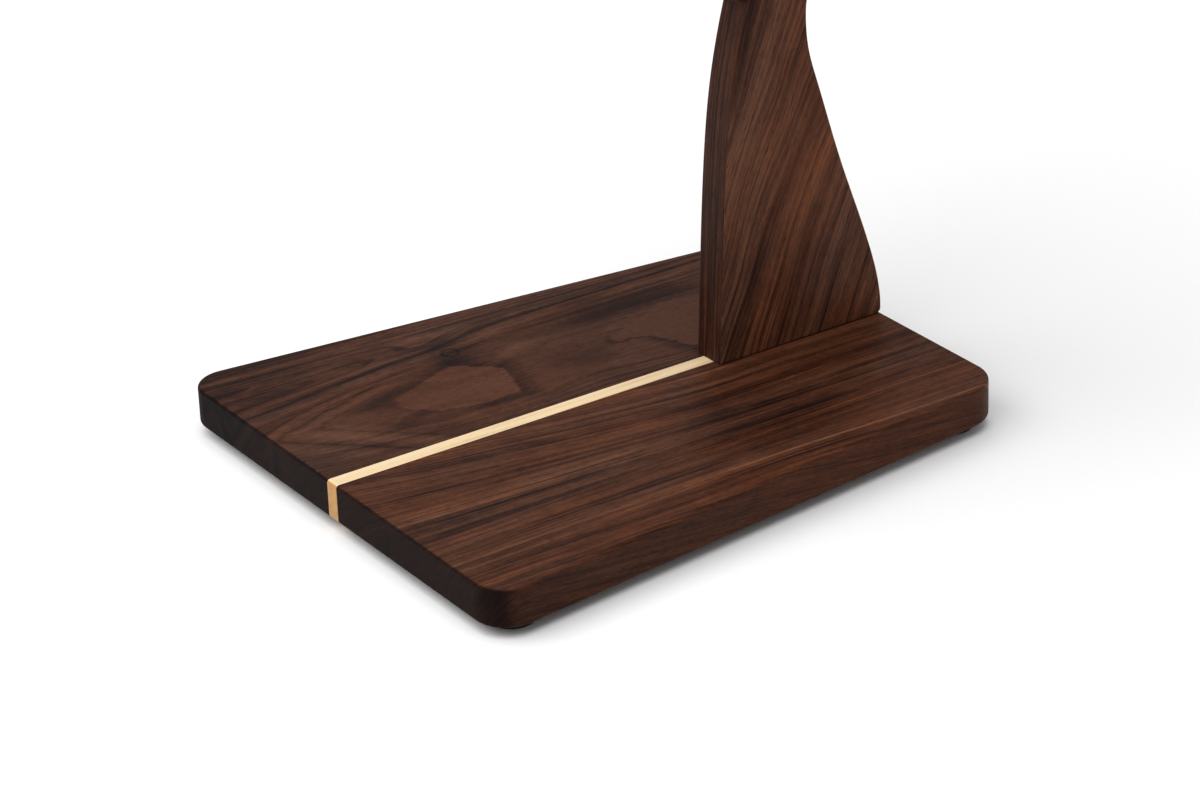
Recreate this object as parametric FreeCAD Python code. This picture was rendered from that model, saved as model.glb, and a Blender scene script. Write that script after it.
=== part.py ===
"""Photo album stand: a walnut base with a maple centre strip, a curved walnut
post and a leaning album rest with a ledge and a lip.

All sizes are in millimetres. +Z is up, -Y is the front, +X is the right side.
The origin is on the surface the feet stand on, under the middle of the base.
The album rest is drawn upright in its own frame, in which Y = 0 is the post's
straight front edge and Z runs up that edge. lean() then tilts it into place.
"""
import FreeCAD
import Part
import math
import os

V = FreeCAD.Vector
X_AXIS = V(1, 0, 0)
Z_AXIS = V(0, 0, 1)

# Base: a board that narrows towards the back, in two halves with a strip between
BASE_FRONT_WIDTH = 267.0
BASE_BACK_WIDTH = 200.0
BASE_DEPTH = 296.5
BASE_THICKNESS = 19.0
BASE_FRONT_CORNER = 16.0
BASE_BACK_CORNER = 20.0
BASE_TOP_ROUND = 1.6
BASE_BOTTOM_ROUND = 2.0
STRIP_WIDTH = 7.7

# Rubber feet, each with a washer and a pan-head screw in its recess
FOOT_HEIGHT = 5.0
FOOT_RADIUS = 10.5
FOOT_TAPER = 0.3
FOOT_ROUND = 0.8
FOOT_SIDE_INSET = 17.0
FOOT_END_INSET = 19.0
FOOT_RECESS_RADIUS = 5.0
FOOT_RECESS_DEPTH = 3.0
WASHER_RADIUS = 4.6
WASHER_THICKNESS = 0.8
FOOT_SCREW_RADIUS = 1.9
FOOT_SCREW_LENGTH = 14.0
PAN_HEAD_RADIUS = 3.6
PAN_HEAD_HEIGHT = 1.7

# Post: one board on edge along the middle of the base
POST_THICKNESS = 18.0
POST_FRONT_Y = 54.8
POST_HEEL_INSET = 0.25           # from the back edge of the base
POST_HEEL_ROUND = 2.7
POST_EDGE_ROUND = 0.8
POST_TOP_ROUND = 8.0
REST_LEAN = 17.0                 # degrees back from upright
REST_START_Y = 74.6              # where the front edge becomes straight
REST_START_HEIGHT = 172.0        # above the top of the base
BEAM_DEPTH_LOW = 32.7            # front to back, at the foot of the straight part
BEAM_DEPTH_TOP = 20.0
BEAM_LOW = 13.0
BEAM_TOP = 176.0                 # along the lean, as all the rest's heights
# (Y, height above the base) on the two curved edges, from the foot upward
POST_FRONT_CURVE = [(POST_FRONT_Y, 0.0), (57.6, 51.0), (61.1, 100.0), (66.1, 137.5)]
POST_BACK_CURVE = [(147.5, 12.0), (140.8, 39.4), (125.6, 83.8), (112.7, 126.6),
                   (107.7, 147.2), (107.2, 161.8)]

# Fixings between the post and the base, along the centre line
POST_SCREW_Y = [70.0, 100.0, 130.0]
POST_SCREW_LENGTH = 50.0
POST_SCREW_RECESS = 1.0
POST_DOWEL_Y = [85.0, 115.0]
POST_DOWEL_RADIUS = 3.0
POST_DOWEL_LENGTH = 30.0
POST_DOWEL_IN_BASE = 14.0

# Back panel of the album rest
PANEL_THICKNESS = 10.0
PANEL_LOW = 52.0
PANEL_TOP = 248.0
PANEL_LOW_WIDTH = 230.0
PANEL_TOP_WIDTH = 186.0
PANEL_TOP_CORNER = 16.0
PANEL_FRONT_ROUND = 2.5
PANEL_BACK_ROUND = 1.2
HOUSING_DEPTH = 2.0              # the ledge's back edge is let into the panel this far

# Ledge and lip that hold the foot of the album
LEDGE_DEPTH = 48.0
LEDGE_THICKNESS = 12.0
LIP_THICKNESS = 10.0
LIP_HEIGHT = 24.0
LIP_CORNER = 9.0
LIP_ROUND = 2.0
LEDGE_END_ROUND = 1.5
PAD_THICKNESS = 1.2              # let in flush with the top of the ledge
PAD_MARGIN = 4.0
PAD_END_MARGIN = 6.0
PAD_CORNER = 3.0

# Bracket under the ledge, on the post's front edge
BRACKET_THICKNESS = 14.0
BRACKET_LOW = 0.5
BRACKET_REACH = 54.0
BRACKET_NOSE = 12.0
BRACKET_TOE = 7.0
BRACKET_TOE_HEIGHT = 3.0
BRACKET_HOLLOW = (24.0, 30.0)    # reach and height of the middle of its curve
BRACKET_EDGE_ROUND = 0.8
BRACKET_DOWEL_HEIGHTS = [28.0, 43.0]
BRACKET_DOWEL_RADIUS = 3.0
BRACKET_DOWEL_LENGTH = 20.0
BRACKET_DOWEL_IN_BRACKET = 8.0
BRACKET_SCREW_REACHES = [20.0, 36.0]
BRACKET_SCREW_LENGTH = 24.0

# Battens behind the panel, let into notches in the post's front edge
BATTEN_THICKNESS = 12.0
BATTEN_HEIGHT = 28.0
BATTEN_END_ROUND = 6.0
BATTEN_EDGE_ROUND = 1.2
LOWER_BATTEN_LOW = 78.0
LOWER_BATTEN_LENGTH = 176.0
UPPER_BATTEN_LOW = 138.0
UPPER_BATTEN_LENGTH = 160.0
BATTEN_SCREW_RECESS = 1.0
BATTEN_SCREW_SPARE = 3.0         # wood left between a batten screw's tip and the panel
NOTCH_OVERRUN = 1.0              # how far the notches' cutters stand proud of the post

# Small wood screws and dowels of the album rest
SCREW_RADIUS = 1.75
SCREW_HEAD_RADIUS = 3.5
PANEL_SCREW_LENGTH = 18.0
PANEL_SCREW_FAR_INSET = 20.0     # from the batten's end
PANEL_SCREW_NEAR_X = 30.0
LEDGE_SCREW_LENGTH = 34.0
LEDGE_FIXING_X = [-95.0, -35.0, 35.0, 95.0]
LIP_DOWEL_RADIUS = 2.5
LIP_DOWEL_LENGTH = 16.0
LIP_DOWEL_IN_LIP = 8.0

# Heavier screws that hold the post to the base
BIG_SCREW_RADIUS = 2.5
BIG_SCREW_HEAD_RADIUS = 4.8

# Driver recesses, as shares of the head's radius, and the blunt end of every screw
RECESS_LENGTH_SHARE = 1.1
RECESS_WIDTH_SHARE = 0.24
RECESS_DEPTH_SHARE = 0.45
PAN_RECESS_SHARE = 0.7           # a pan head's recess is made as for a head this much smaller
SCREW_TIP_RADIUS = 0.2

BASE_UNDERSIDE = FOOT_HEIGHT
BASE_TOP = BASE_UNDERSIDE + BASE_THICKNESS
BASE_BACK_Y = BASE_DEPTH / 2
BASE_HEEL_Y = BASE_BACK_Y - POST_HEEL_INSET
LEDGE_TOP = PANEL_LOW + LEDGE_THICKNESS
PAD_UNDERSIDE = LEDGE_TOP - PAD_THICKNESS
LEDGE_FRONT = PANEL_THICKNESS + LEDGE_DEPTH
LEDGE_BACK = HOUSING_DEPTH - PANEL_THICKNESS
LEDGE_MIDDLE = PANEL_LOW + LEDGE_THICKNESS / 2
TOO_BIG = 500.0                  # a cutting block larger than the stand


# ---------------------------------------------------------------- helpers

def block(x_range, y_range, z_range):
    """A box given by its lowest and highest X, Y and Z."""
    size = [high - low for low, high in (x_range, y_range, z_range)]
    return Part.makeBox(size[0], size[1], size[2], V(x_range[0], y_range[0], z_range[0]))


def centred(width):
    return (-width / 2, width / 2)


def closed_face(edges):
    return Part.Face(Part.Wire(Part.__sortEdges__(edges)))


def polygon_face(points):
    return Part.Face(Part.makePolygon(points + [points[0]]))


def straight(start, end):
    return Part.makeLine(start, end)


def edges_where(shape, test):
    """The shape's edges whose bounding box passes the test."""
    return [edge for edge in shape.Edges if test(edge.BoundBox)]


def near(value, target, slack=0.01):
    return abs(value - target) < slack


def is_upright(box):
    return box.ZLength > 1 and box.XLength < 0.01 and box.YLength < 0.01


def cut_all(shape, tools):
    return shape.cut(tools) if tools else shape


def from_base_up(height):
    """Z of a height measured from the top of the base."""
    return BASE_TOP + height


def lean(shape):
    """Tilt a shape of the album rest from its own upright frame into place."""
    placed = shape.copy()
    placed.rotate(V(0, 0, 0), X_AXIS, -REST_LEAN)
    placed.translate(V(0, REST_START_Y, from_base_up(REST_START_HEIGHT)))
    return placed


def along_rest(height, depth=0.0):
    """World point of the centre line at a height and depth of the album rest."""
    angle = math.radians(REST_LEAN)
    forward = height * math.sin(angle) + depth * math.cos(angle)
    upward = height * math.cos(angle) - depth * math.sin(angle)
    return V(0, REST_START_Y + forward, from_base_up(REST_START_HEIGHT) + upward)


def beam_depth(height):
    """Depth of the post's straight part, which tapers towards its top."""
    share = (height - BEAM_LOW) / (BEAM_TOP - BEAM_LOW)
    return BEAM_DEPTH_LOW + share * (BEAM_DEPTH_TOP - BEAM_DEPTH_LOW)


def screw_shank(start, direction, length, radius):
    """A plain shank with a conical tip, as one solid."""
    tip_height = 2 * radius
    straight_length = length - tip_height
    shank = Part.makeCylinder(radius, straight_length, start, direction)
    tip = Part.makeCone(radius, SCREW_TIP_RADIUS, tip_height, start + direction * straight_length,
                        direction)
    return shank.fuse(tip).removeSplitter()


def countersunk_screw(start, direction, length, radius, head_radius, recess=0.0):
    """A countersunk wood screw and the hole it sits in.

    start is the middle of the head's flat face. The hole continues behind the
    head for the recess, so that a sunk head is clear of the surface.
    """
    head_height = head_radius - radius
    head = Part.makeCone(head_radius, radius, head_height, start, direction)
    hull = head.fuse(screw_shank(start, direction, length, radius)).removeSplitter()
    hole = hull
    if recess:
        well = Part.makeCylinder(head_radius, recess, start - direction * recess, direction)
        hole = hull.fuse(well).removeSplitter()
    return hull.cut(cross_recess(start, direction, head_radius)), hole


def cross_recess(start, direction, head_radius):
    """The cross-shaped driver recess in a screw's head."""
    length = RECESS_LENGTH_SHARE * head_radius
    width = RECESS_WIDTH_SHARE * head_radius
    depth = RECESS_DEPTH_SHARE * head_radius
    bars = []
    for turn in (0, 90):
        bar = Part.makeBox(length, width, depth, V(-length / 2, -width / 2, 0))
        bar.rotate(V(0, 0, 0), Z_AXIS, turn)
        bars.append(bar)
    cross = bars[0].fuse(bars[1])
    cross.Placement = FreeCAD.Placement(start, FreeCAD.Rotation(Z_AXIS, direction))
    return cross


def dowel(start, direction, radius, length):
    """A round wooden dowel, and the same cylinder again as its hole."""
    chamfer = radius / 5
    body = Part.makeCylinder(radius, length - 2 * chamfer, start + direction * chamfer, direction)
    low = Part.makeCone(radius - chamfer, radius, chamfer, start, direction)
    high = Part.makeCone(radius, radius - chamfer, chamfer,
                         start + direction * (length - chamfer), direction)
    return body.fuse([low, high]).removeSplitter(), Part.makeCylinder(radius, length, start, direction)


def split_pairs(pairs):
    """Fasteners as one compound, and the list of their holes."""
    return Part.makeCompound([pair[0] for pair in pairs]), [pair[1] for pair in pairs]


# ---------------------------------------------------------------- fixings

def make_post_screws():
    head_z = BASE_UNDERSIDE + POST_SCREW_RECESS
    return split_pairs([
        countersunk_screw(V(0, y, head_z), Z_AXIS, POST_SCREW_LENGTH, BIG_SCREW_RADIUS,
                          BIG_SCREW_HEAD_RADIUS, POST_SCREW_RECESS)
        for y in POST_SCREW_Y])


def make_post_dowels():
    low_z = BASE_TOP - POST_DOWEL_IN_BASE
    return split_pairs([dowel(V(0, y, low_z), Z_AXIS, POST_DOWEL_RADIUS, POST_DOWEL_LENGTH)
                        for y in POST_DOWEL_Y])


def make_bracket_dowels():
    back = V(0, 1, 0)
    return split_pairs([
        dowel(V(0, -BRACKET_DOWEL_IN_BRACKET, height), back, BRACKET_DOWEL_RADIUS,
              BRACKET_DOWEL_LENGTH)
        for height in BRACKET_DOWEL_HEIGHTS])


def make_bracket_screws():
    return split_pairs([
        countersunk_screw(V(0, -reach, PAD_UNDERSIDE), V(0, 0, -1), BRACKET_SCREW_LENGTH,
                          SCREW_RADIUS, SCREW_HEAD_RADIUS)
        for reach in BRACKET_SCREW_REACHES])


def make_ledge_screws():
    return split_pairs([
        countersunk_screw(V(x, 0, LEDGE_MIDDLE), V(0, -1, 0), LEDGE_SCREW_LENGTH,
                          SCREW_RADIUS, SCREW_HEAD_RADIUS)
        for x in LEDGE_FIXING_X])


def make_lip_dowels():
    start_y = -(LEDGE_FRONT + LIP_DOWEL_IN_LIP)
    return split_pairs([dowel(V(x, start_y, LEDGE_MIDDLE), V(0, 1, 0), LIP_DOWEL_RADIUS,
                              LIP_DOWEL_LENGTH)
                        for x in LEDGE_FIXING_X])


def batten_middle(low):
    return low + BATTEN_HEIGHT / 2


def make_panel_screws():
    pairs = []
    for low, length in ((LOWER_BATTEN_LOW, LOWER_BATTEN_LENGTH),
                        (UPPER_BATTEN_LOW, UPPER_BATTEN_LENGTH)):
        far_x = length / 2 - PANEL_SCREW_FAR_INSET
        for x in (-far_x, -PANEL_SCREW_NEAR_X, PANEL_SCREW_NEAR_X, far_x):
            start = V(x, BATTEN_THICKNESS, batten_middle(low))
            pairs.append(countersunk_screw(start, V(0, -1, 0), PANEL_SCREW_LENGTH,
                                           SCREW_RADIUS, SCREW_HEAD_RADIUS))
    return split_pairs(pairs)


def make_batten_screws():
    pairs = []
    for low in (LOWER_BATTEN_LOW, UPPER_BATTEN_LOW):
        middle = batten_middle(low)
        head_y = beam_depth(middle) - BATTEN_SCREW_RECESS
        pairs.append(countersunk_screw(V(0, head_y, middle), V(0, -1, 0),
                                       head_y - BATTEN_SCREW_SPARE, SCREW_RADIUS,
                                       SCREW_HEAD_RADIUS, 2 * BATTEN_SCREW_RECESS))
    return split_pairs(pairs)


# ---------------------------------------------------------------- feet

def base_half_width(y):
    share = (y + BASE_BACK_Y) / BASE_DEPTH
    return (BASE_FRONT_WIDTH + share * (BASE_BACK_WIDTH - BASE_FRONT_WIDTH)) / 2


def foot_places():
    """Name and centre of each foot."""
    places = []
    for end, y in (("front", FOOT_END_INSET - BASE_BACK_Y), ("back", BASE_BACK_Y - FOOT_END_INSET)):
        for side, sign in (("left", -1), ("right", 1)):
            x = sign * (base_half_width(y) - FOOT_SIDE_INSET)
            places.append((f"foot_{end}_{side}", V(x, y, 0)))
    return places


def foot_screw_base():
    """Z of the underside of the washer."""
    return FOOT_RECESS_DEPTH - WASHER_THICKNESS


def make_foot(place):
    body = Part.makeCone(FOOT_RADIUS - FOOT_TAPER, FOOT_RADIUS, FOOT_HEIGHT, place)
    rims = edges_where(body, lambda box: near(box.ZMax, 0) and box.XLength > FOOT_RADIUS)
    body = body.makeFillet(FOOT_ROUND, rims)
    recess = Part.makeCylinder(FOOT_RECESS_RADIUS, FOOT_RECESS_DEPTH, place)
    hole = Part.makeCylinder(FOOT_SCREW_RADIUS, FOOT_HEIGHT, place)
    return body.cut([recess, hole])


def make_washer(place):
    at = place + V(0, 0, foot_screw_base())
    disc = Part.makeCylinder(WASHER_RADIUS, WASHER_THICKNESS, at)
    return disc.cut(Part.makeCylinder(FOOT_SCREW_RADIUS, WASHER_THICKNESS, at))


def make_foot_screw(place):
    """A pan-head screw, driven upward through the foot into the base."""
    at = place + V(0, 0, foot_screw_base())
    head_low = at - V(0, 0, PAN_HEAD_HEIGHT)
    head = Part.makeCylinder(PAN_HEAD_RADIUS, PAN_HEAD_HEIGHT, head_low)
    rims = edges_where(head, lambda box: near(box.ZMax, head_low.z) and box.XLength > PAN_HEAD_RADIUS)
    head = head.makeFillet(PAN_HEAD_HEIGHT / 2, rims)
    body = head.fuse(make_foot_screw_shank(place)).removeSplitter()
    return body.cut(cross_recess(head_low, Z_AXIS, PAN_RECESS_SHARE * PAN_HEAD_RADIUS))


def make_foot_screw_shank(place):
    """The screw below its head, which is also its hole in the base."""
    at = place + V(0, 0, foot_screw_base())
    return screw_shank(at, Z_AXIS, FOOT_SCREW_LENGTH, FOOT_SCREW_RADIUS)


# ---------------------------------------------------------------- base

def make_base_slab():
    """The whole base as one rounded board, before it is parted along the strip."""
    front = BASE_FRONT_WIDTH / 2
    back = BASE_BACK_WIDTH / 2
    outline = [V(-front, -BASE_BACK_Y, BASE_UNDERSIDE), V(front, -BASE_BACK_Y, BASE_UNDERSIDE),
               V(back, BASE_BACK_Y, BASE_UNDERSIDE), V(-back, BASE_BACK_Y, BASE_UNDERSIDE)]
    slab = polygon_face(outline).extrude(V(0, 0, BASE_THICKNESS))
    slab = slab.makeFillet(BASE_FRONT_CORNER,
                           edges_where(slab, lambda box: is_upright(box) and box.YMax < 0))
    slab = slab.makeFillet(BASE_BACK_CORNER,
                           edges_where(slab, lambda box: is_upright(box) and near(box.YMin, BASE_BACK_Y)))
    slab = slab.makeFillet(BASE_TOP_ROUND,
                           edges_where(slab, lambda box: near(box.ZMin, BASE_TOP)))
    return slab.makeFillet(BASE_BOTTOM_ROUND,
                           edges_where(slab, lambda box: near(box.ZMax, BASE_UNDERSIDE)))


def part_along_strip(board):
    """Cut a board into its left half, its centre strip and its right half."""
    strip = STRIP_WIDTH / 2
    everywhere = (-TOO_BIG, TOO_BIG)
    ranges = ((-TOO_BIG, -strip), (-strip, strip), (strip, TOO_BIG))
    return [board.common(block(x_range, everywhere, everywhere)) for x_range in ranges]


def make_base_boards(holes):
    return part_along_strip(cut_all(make_base_slab(), holes))


# ---------------------------------------------------------------- post

def curve_through(points, start_direction, end_direction):
    spline = Part.BSplineCurve()
    spline.interpolate(Points=points, InitialTangent=start_direction, FinalTangent=end_direction)
    return spline.toShape()


def make_post_outline():
    """The post's side view: an upright foot that sweeps into a leaning beam."""
    angle = math.radians(REST_LEAN)
    up_lean = V(0, math.sin(angle), math.cos(angle))
    front_points = [V(0, y, from_base_up(height)) for y, height in POST_FRONT_CURVE]
    front_points.append(along_rest(0))
    back_points = [V(0, y, from_base_up(height)) for y, height in POST_BACK_CURVE]
    heel = V(0, BASE_HEEL_Y, BASE_TOP)
    heel_top = heel + V(0, 0, 2 * POST_HEEL_ROUND)
    back_points.insert(0, heel_top)
    back_points.append(along_rest(BEAM_LOW, BEAM_DEPTH_LOW))
    beam_back = along_rest(BEAM_TOP, BEAM_DEPTH_TOP) - back_points[-1]
    front_lean = V(0, POST_FRONT_CURVE[1][0] - POST_FRONT_Y, POST_FRONT_CURVE[1][1]).normalize()
    return closed_face([
        straight(heel, front_points[0]),
        curve_through(front_points, front_lean, up_lean),
        straight(front_points[-1], along_rest(BEAM_TOP)),
        straight(along_rest(BEAM_TOP), along_rest(BEAM_TOP, BEAM_DEPTH_TOP)),
        straight(along_rest(BEAM_TOP, BEAM_DEPTH_TOP), back_points[-1]),
        curve_through(back_points, Z_AXIS, beam_back.normalize()),
        straight(heel_top, heel)])


def make_post(holes):
    half = POST_THICKNESS / 2
    body = make_post_outline().extrude(V(POST_THICKNESS, 0, 0))
    body.translate(V(-half, 0, 0))
    heel = edges_where(body, lambda box: box.XLength > half and near(box.YMin, BASE_HEEL_Y)
                       and near(box.ZMax, BASE_TOP))
    body = body.makeFillet(POST_HEEL_ROUND, heel)
    tip = along_rest(BEAM_TOP, BEAM_DEPTH_TOP)
    crown = edges_where(body, lambda box: box.XLength > half and near(box.YMin, tip.y)
                        and near(box.ZMin, tip.z))
    body = body.makeFillet(POST_TOP_ROUND, crown)
    rims = edges_where(body, lambda box: box.XLength < 0.01 and box.ZMax > BASE_TOP + 0.1)
    body = body.makeFillet(POST_EDGE_ROUND, rims)
    notch_depth = (-NOTCH_OVERRUN, BATTEN_THICKNESS)
    notches = [lean(block((-TOO_BIG, TOO_BIG), notch_depth, (low, low + BATTEN_HEIGHT)))
               for low in (LOWER_BATTEN_LOW, UPPER_BATTEN_LOW)]
    return cut_all(body, notches + holes)


# ---------------------------------------------------------------- album rest

def panel_half_width(height):
    share = (height - PANEL_LOW) / (PANEL_TOP - PANEL_LOW)
    return (PANEL_LOW_WIDTH + share * (PANEL_TOP_WIDTH - PANEL_LOW_WIDTH)) / 2


def make_panel_boards(holes):
    """The leaning back, which repeats the base: two halves and a strip."""
    low = panel_half_width(PANEL_LOW)
    top = panel_half_width(PANEL_TOP)
    outline = [V(-low, 0, PANEL_LOW), V(low, 0, PANEL_LOW), V(top, 0, PANEL_TOP), V(-top, 0, PANEL_TOP)]
    slab = polygon_face(outline).extrude(V(0, -PANEL_THICKNESS, 0))
    corners = edges_where(slab, lambda box: box.YLength > 1 and near(box.ZMin, PANEL_TOP))
    slab = slab.makeFillet(PANEL_TOP_CORNER, corners)
    front_rim = edges_where(slab, lambda box: near(box.YMax, -PANEL_THICKNESS) and box.ZMax > PANEL_LOW + 1)
    slab = slab.makeFillet(PANEL_FRONT_ROUND, front_rim)
    back_rim = edges_where(slab, lambda box: near(box.YMin, 0) and box.ZMax > PANEL_LOW + 1)
    slab = slab.makeFillet(PANEL_BACK_ROUND, back_rim)
    housing = block((-TOO_BIG, TOO_BIG), (-TOO_BIG, LEDGE_BACK), (-TOO_BIG, LEDGE_TOP))
    return part_along_strip(cut_all(slab, holes + [housing]))


def make_ledge(holes):
    board = block(centred(PANEL_LOW_WIDTH), (-LEDGE_FRONT, LEDGE_BACK), (PANEL_LOW, LEDGE_TOP))
    ends = edges_where(board, lambda box: box.YLength > 1)
    board = board.makeFillet(LEDGE_END_ROUND, ends)
    return cut_all(board, holes + [make_ledge_pad()])


def make_lip(holes):
    y_range = (-LEDGE_FRONT - LIP_THICKNESS, -LEDGE_FRONT)
    board = block(centred(PANEL_LOW_WIDTH), y_range, (PANEL_LOW, PANEL_LOW + LIP_HEIGHT))
    top_corners = edges_where(board, lambda box: box.YLength > 1 and near(box.ZMin, PANEL_LOW + LIP_HEIGHT))
    board = board.makeFillet(LIP_CORNER, top_corners)
    front_rim = edges_where(board, lambda box: near(box.YMax, y_range[0]))
    board = board.makeFillet(LIP_ROUND, front_rim)
    back_rim = edges_where(board, lambda box: near(box.YMin, y_range[1]) and box.ZMax > LEDGE_TOP + 1)
    board = board.makeFillet(LIP_ROUND / 2, back_rim)
    return cut_all(board, holes)


def make_ledge_pad():
    """A thin leather strip let into the ledge, over the bracket's screws."""
    pad = block(centred(PANEL_LOW_WIDTH - 2 * PAD_END_MARGIN),
                (-LEDGE_FRONT + PAD_MARGIN, -PANEL_THICKNESS - PAD_MARGIN),
                (PAD_UNDERSIDE, LEDGE_TOP))
    return pad.makeFillet(PAD_CORNER, edges_where(pad, is_upright))


def make_bracket(holes):
    low_back = V(0, 0, BRACKET_LOW)
    high_back = V(0, 0, PANEL_LOW)
    high_front = V(0, -BRACKET_REACH, PANEL_LOW)
    nose = V(0, -BRACKET_REACH, PANEL_LOW - BRACKET_NOSE)
    hollow = V(0, -BRACKET_HOLLOW[0], BRACKET_HOLLOW[1])
    toe = V(0, -BRACKET_TOE, BRACKET_LOW + BRACKET_TOE_HEIGHT)
    toe_low = V(0, -BRACKET_TOE, BRACKET_LOW)
    outline = closed_face([
        straight(low_back, high_back), straight(high_back, high_front), straight(high_front, nose),
        Part.Arc(nose, hollow, toe).toShape(), straight(toe, toe_low), straight(toe_low, low_back)])
    body = outline.extrude(V(BRACKET_THICKNESS, 0, 0))
    body.translate(V(-BRACKET_THICKNESS / 2, 0, 0))
    front_rims = edges_where(body, lambda box: box.XLength < 0.01 and box.YMax < -0.1
                             and box.ZMin < PANEL_LOW - 0.1)
    body = body.makeFillet(BRACKET_EDGE_ROUND, front_rims)
    return cut_all(body, holes)


def make_batten(low, length, holes):
    bar = block(centred(length), (0, BATTEN_THICKNESS), (low, low + BATTEN_HEIGHT))
    bar = bar.makeFillet(BATTEN_END_ROUND, edges_where(bar, lambda box: box.YLength > 1))
    back_rim = edges_where(bar, lambda box: near(box.YMin, BATTEN_THICKNESS))
    bar = bar.makeFillet(BATTEN_EDGE_ROUND, back_rim)
    middle = block(centred(POST_THICKNESS), (0, BATTEN_THICKNESS), (low, low + BATTEN_HEIGHT))
    return cut_all(bar.fuse(middle).removeSplitter(), holes)


# ---------------------------------------------------------------- assembly

def build():
    """Every sub-part by its name, in place."""
    post_screws, post_screw_holes = make_post_screws()
    post_dowels, post_dowel_holes = make_post_dowels()
    bracket_dowels, bracket_dowel_holes = make_bracket_dowels()
    bracket_screws, bracket_screw_holes = make_bracket_screws()
    ledge_screws, ledge_screw_holes = make_ledge_screws()
    lip_dowels, lip_dowel_holes = make_lip_dowels()
    panel_screws, panel_screw_holes = make_panel_screws()
    batten_screws, batten_screw_holes = make_batten_screws()

    feet = foot_places()
    foot_holes = [make_foot_screw_shank(place) for _, place in feet]
    base_left, base_strip, base_right = make_base_boards(
        post_screw_holes + post_dowel_holes + foot_holes)
    post_holes = post_screw_holes + post_dowel_holes
    post_holes += [lean(hole) for hole in bracket_dowel_holes + batten_screw_holes]
    panel_left, panel_strip, panel_right = make_panel_boards(panel_screw_holes + ledge_screw_holes)

    parts = {
        "base_board_left": base_left,
        "base_strip": base_strip,
        "base_board_right": base_right,
        "post": make_post(post_holes),
        "post_screws": post_screws,
        "post_dowels": post_dowels,
        "foot_washers": Part.makeCompound([make_washer(place) for _, place in feet]),
        "foot_screws": Part.makeCompound([make_foot_screw(place) for _, place in feet]),
    }
    for name, place in feet:
        parts[name] = make_foot(place)

    batten_holes = panel_screw_holes + batten_screw_holes
    rest = {
        "panel_board_left": panel_left,
        "panel_strip": panel_strip,
        "panel_board_right": panel_right,
        "lower_batten": make_batten(LOWER_BATTEN_LOW, LOWER_BATTEN_LENGTH, batten_holes),
        "upper_batten": make_batten(UPPER_BATTEN_LOW, UPPER_BATTEN_LENGTH, batten_holes),
        "panel_screws": panel_screws,
        "batten_screws": batten_screws,
        "ledge": make_ledge(ledge_screw_holes + lip_dowel_holes + bracket_screw_holes),
        "ledge_lip": make_lip(lip_dowel_holes),
        "ledge_pad": make_ledge_pad(),
        "ledge_screws": ledge_screws,
        "lip_dowels": lip_dowels,
        "ledge_bracket": make_bracket(bracket_dowel_holes + bracket_screw_holes),
        "bracket_dowels": bracket_dowels,
        "bracket_screws": bracket_screws,
    }
    for name, shape in rest.items():
        parts[name] = lean(shape)
    return parts


def main():
    os.makedirs("parts", exist_ok=True)
    for name, shape in build().items():
        if not shape.isValid() or not shape.Solids:
            raise RuntimeError(f"{name} isn't a valid solid")
        solids = shape.Solids
        whole = solids[0] if len(solids) == 1 else Part.makeCompound(solids)
        whole.exportStep(f"parts/{name}.step")
        print(f"{name}: {len(solids)} solid(s), {sum(s.Volume for s in solids):.0f} mm3")


main()
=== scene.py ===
"""Looks of the photo album stand: wood, leather, rubber and steel, in a pale studio.

Objects are in metres, in the part's own frame: +Z up, -Y the front, +X the right.
The materials are solid patterns in that frame, worked out in millimetres, so the
grain runs through each board and meets at its edges as in real wood.
"""

import math
from collections import namedtuple

import bpy
from mathutils import Matrix, Vector


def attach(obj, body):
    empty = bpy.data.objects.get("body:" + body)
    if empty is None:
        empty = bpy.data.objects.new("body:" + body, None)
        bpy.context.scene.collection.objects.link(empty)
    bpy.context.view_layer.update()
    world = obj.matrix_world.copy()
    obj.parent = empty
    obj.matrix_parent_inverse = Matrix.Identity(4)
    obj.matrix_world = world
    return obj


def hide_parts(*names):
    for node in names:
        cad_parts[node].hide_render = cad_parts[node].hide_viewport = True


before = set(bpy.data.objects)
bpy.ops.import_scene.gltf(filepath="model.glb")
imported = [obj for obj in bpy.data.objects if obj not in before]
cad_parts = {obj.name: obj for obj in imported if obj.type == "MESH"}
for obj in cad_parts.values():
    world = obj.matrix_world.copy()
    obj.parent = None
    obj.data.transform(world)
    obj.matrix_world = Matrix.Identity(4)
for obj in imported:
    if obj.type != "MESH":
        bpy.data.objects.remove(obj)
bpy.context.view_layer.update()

MM = 0.001

# Height of the base's upper face
BASE_TOP = max(vertex.co.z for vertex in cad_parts["base_strip"].data.vertices) / MM

# The album rest leans back about this point, on the front edge of the post
REST_LEAN = math.radians(17.0)
REST_ORIGIN = (0.0, 74.6, 196.0)


# ------------------------------------------------------------ shader arithmetic

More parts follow.
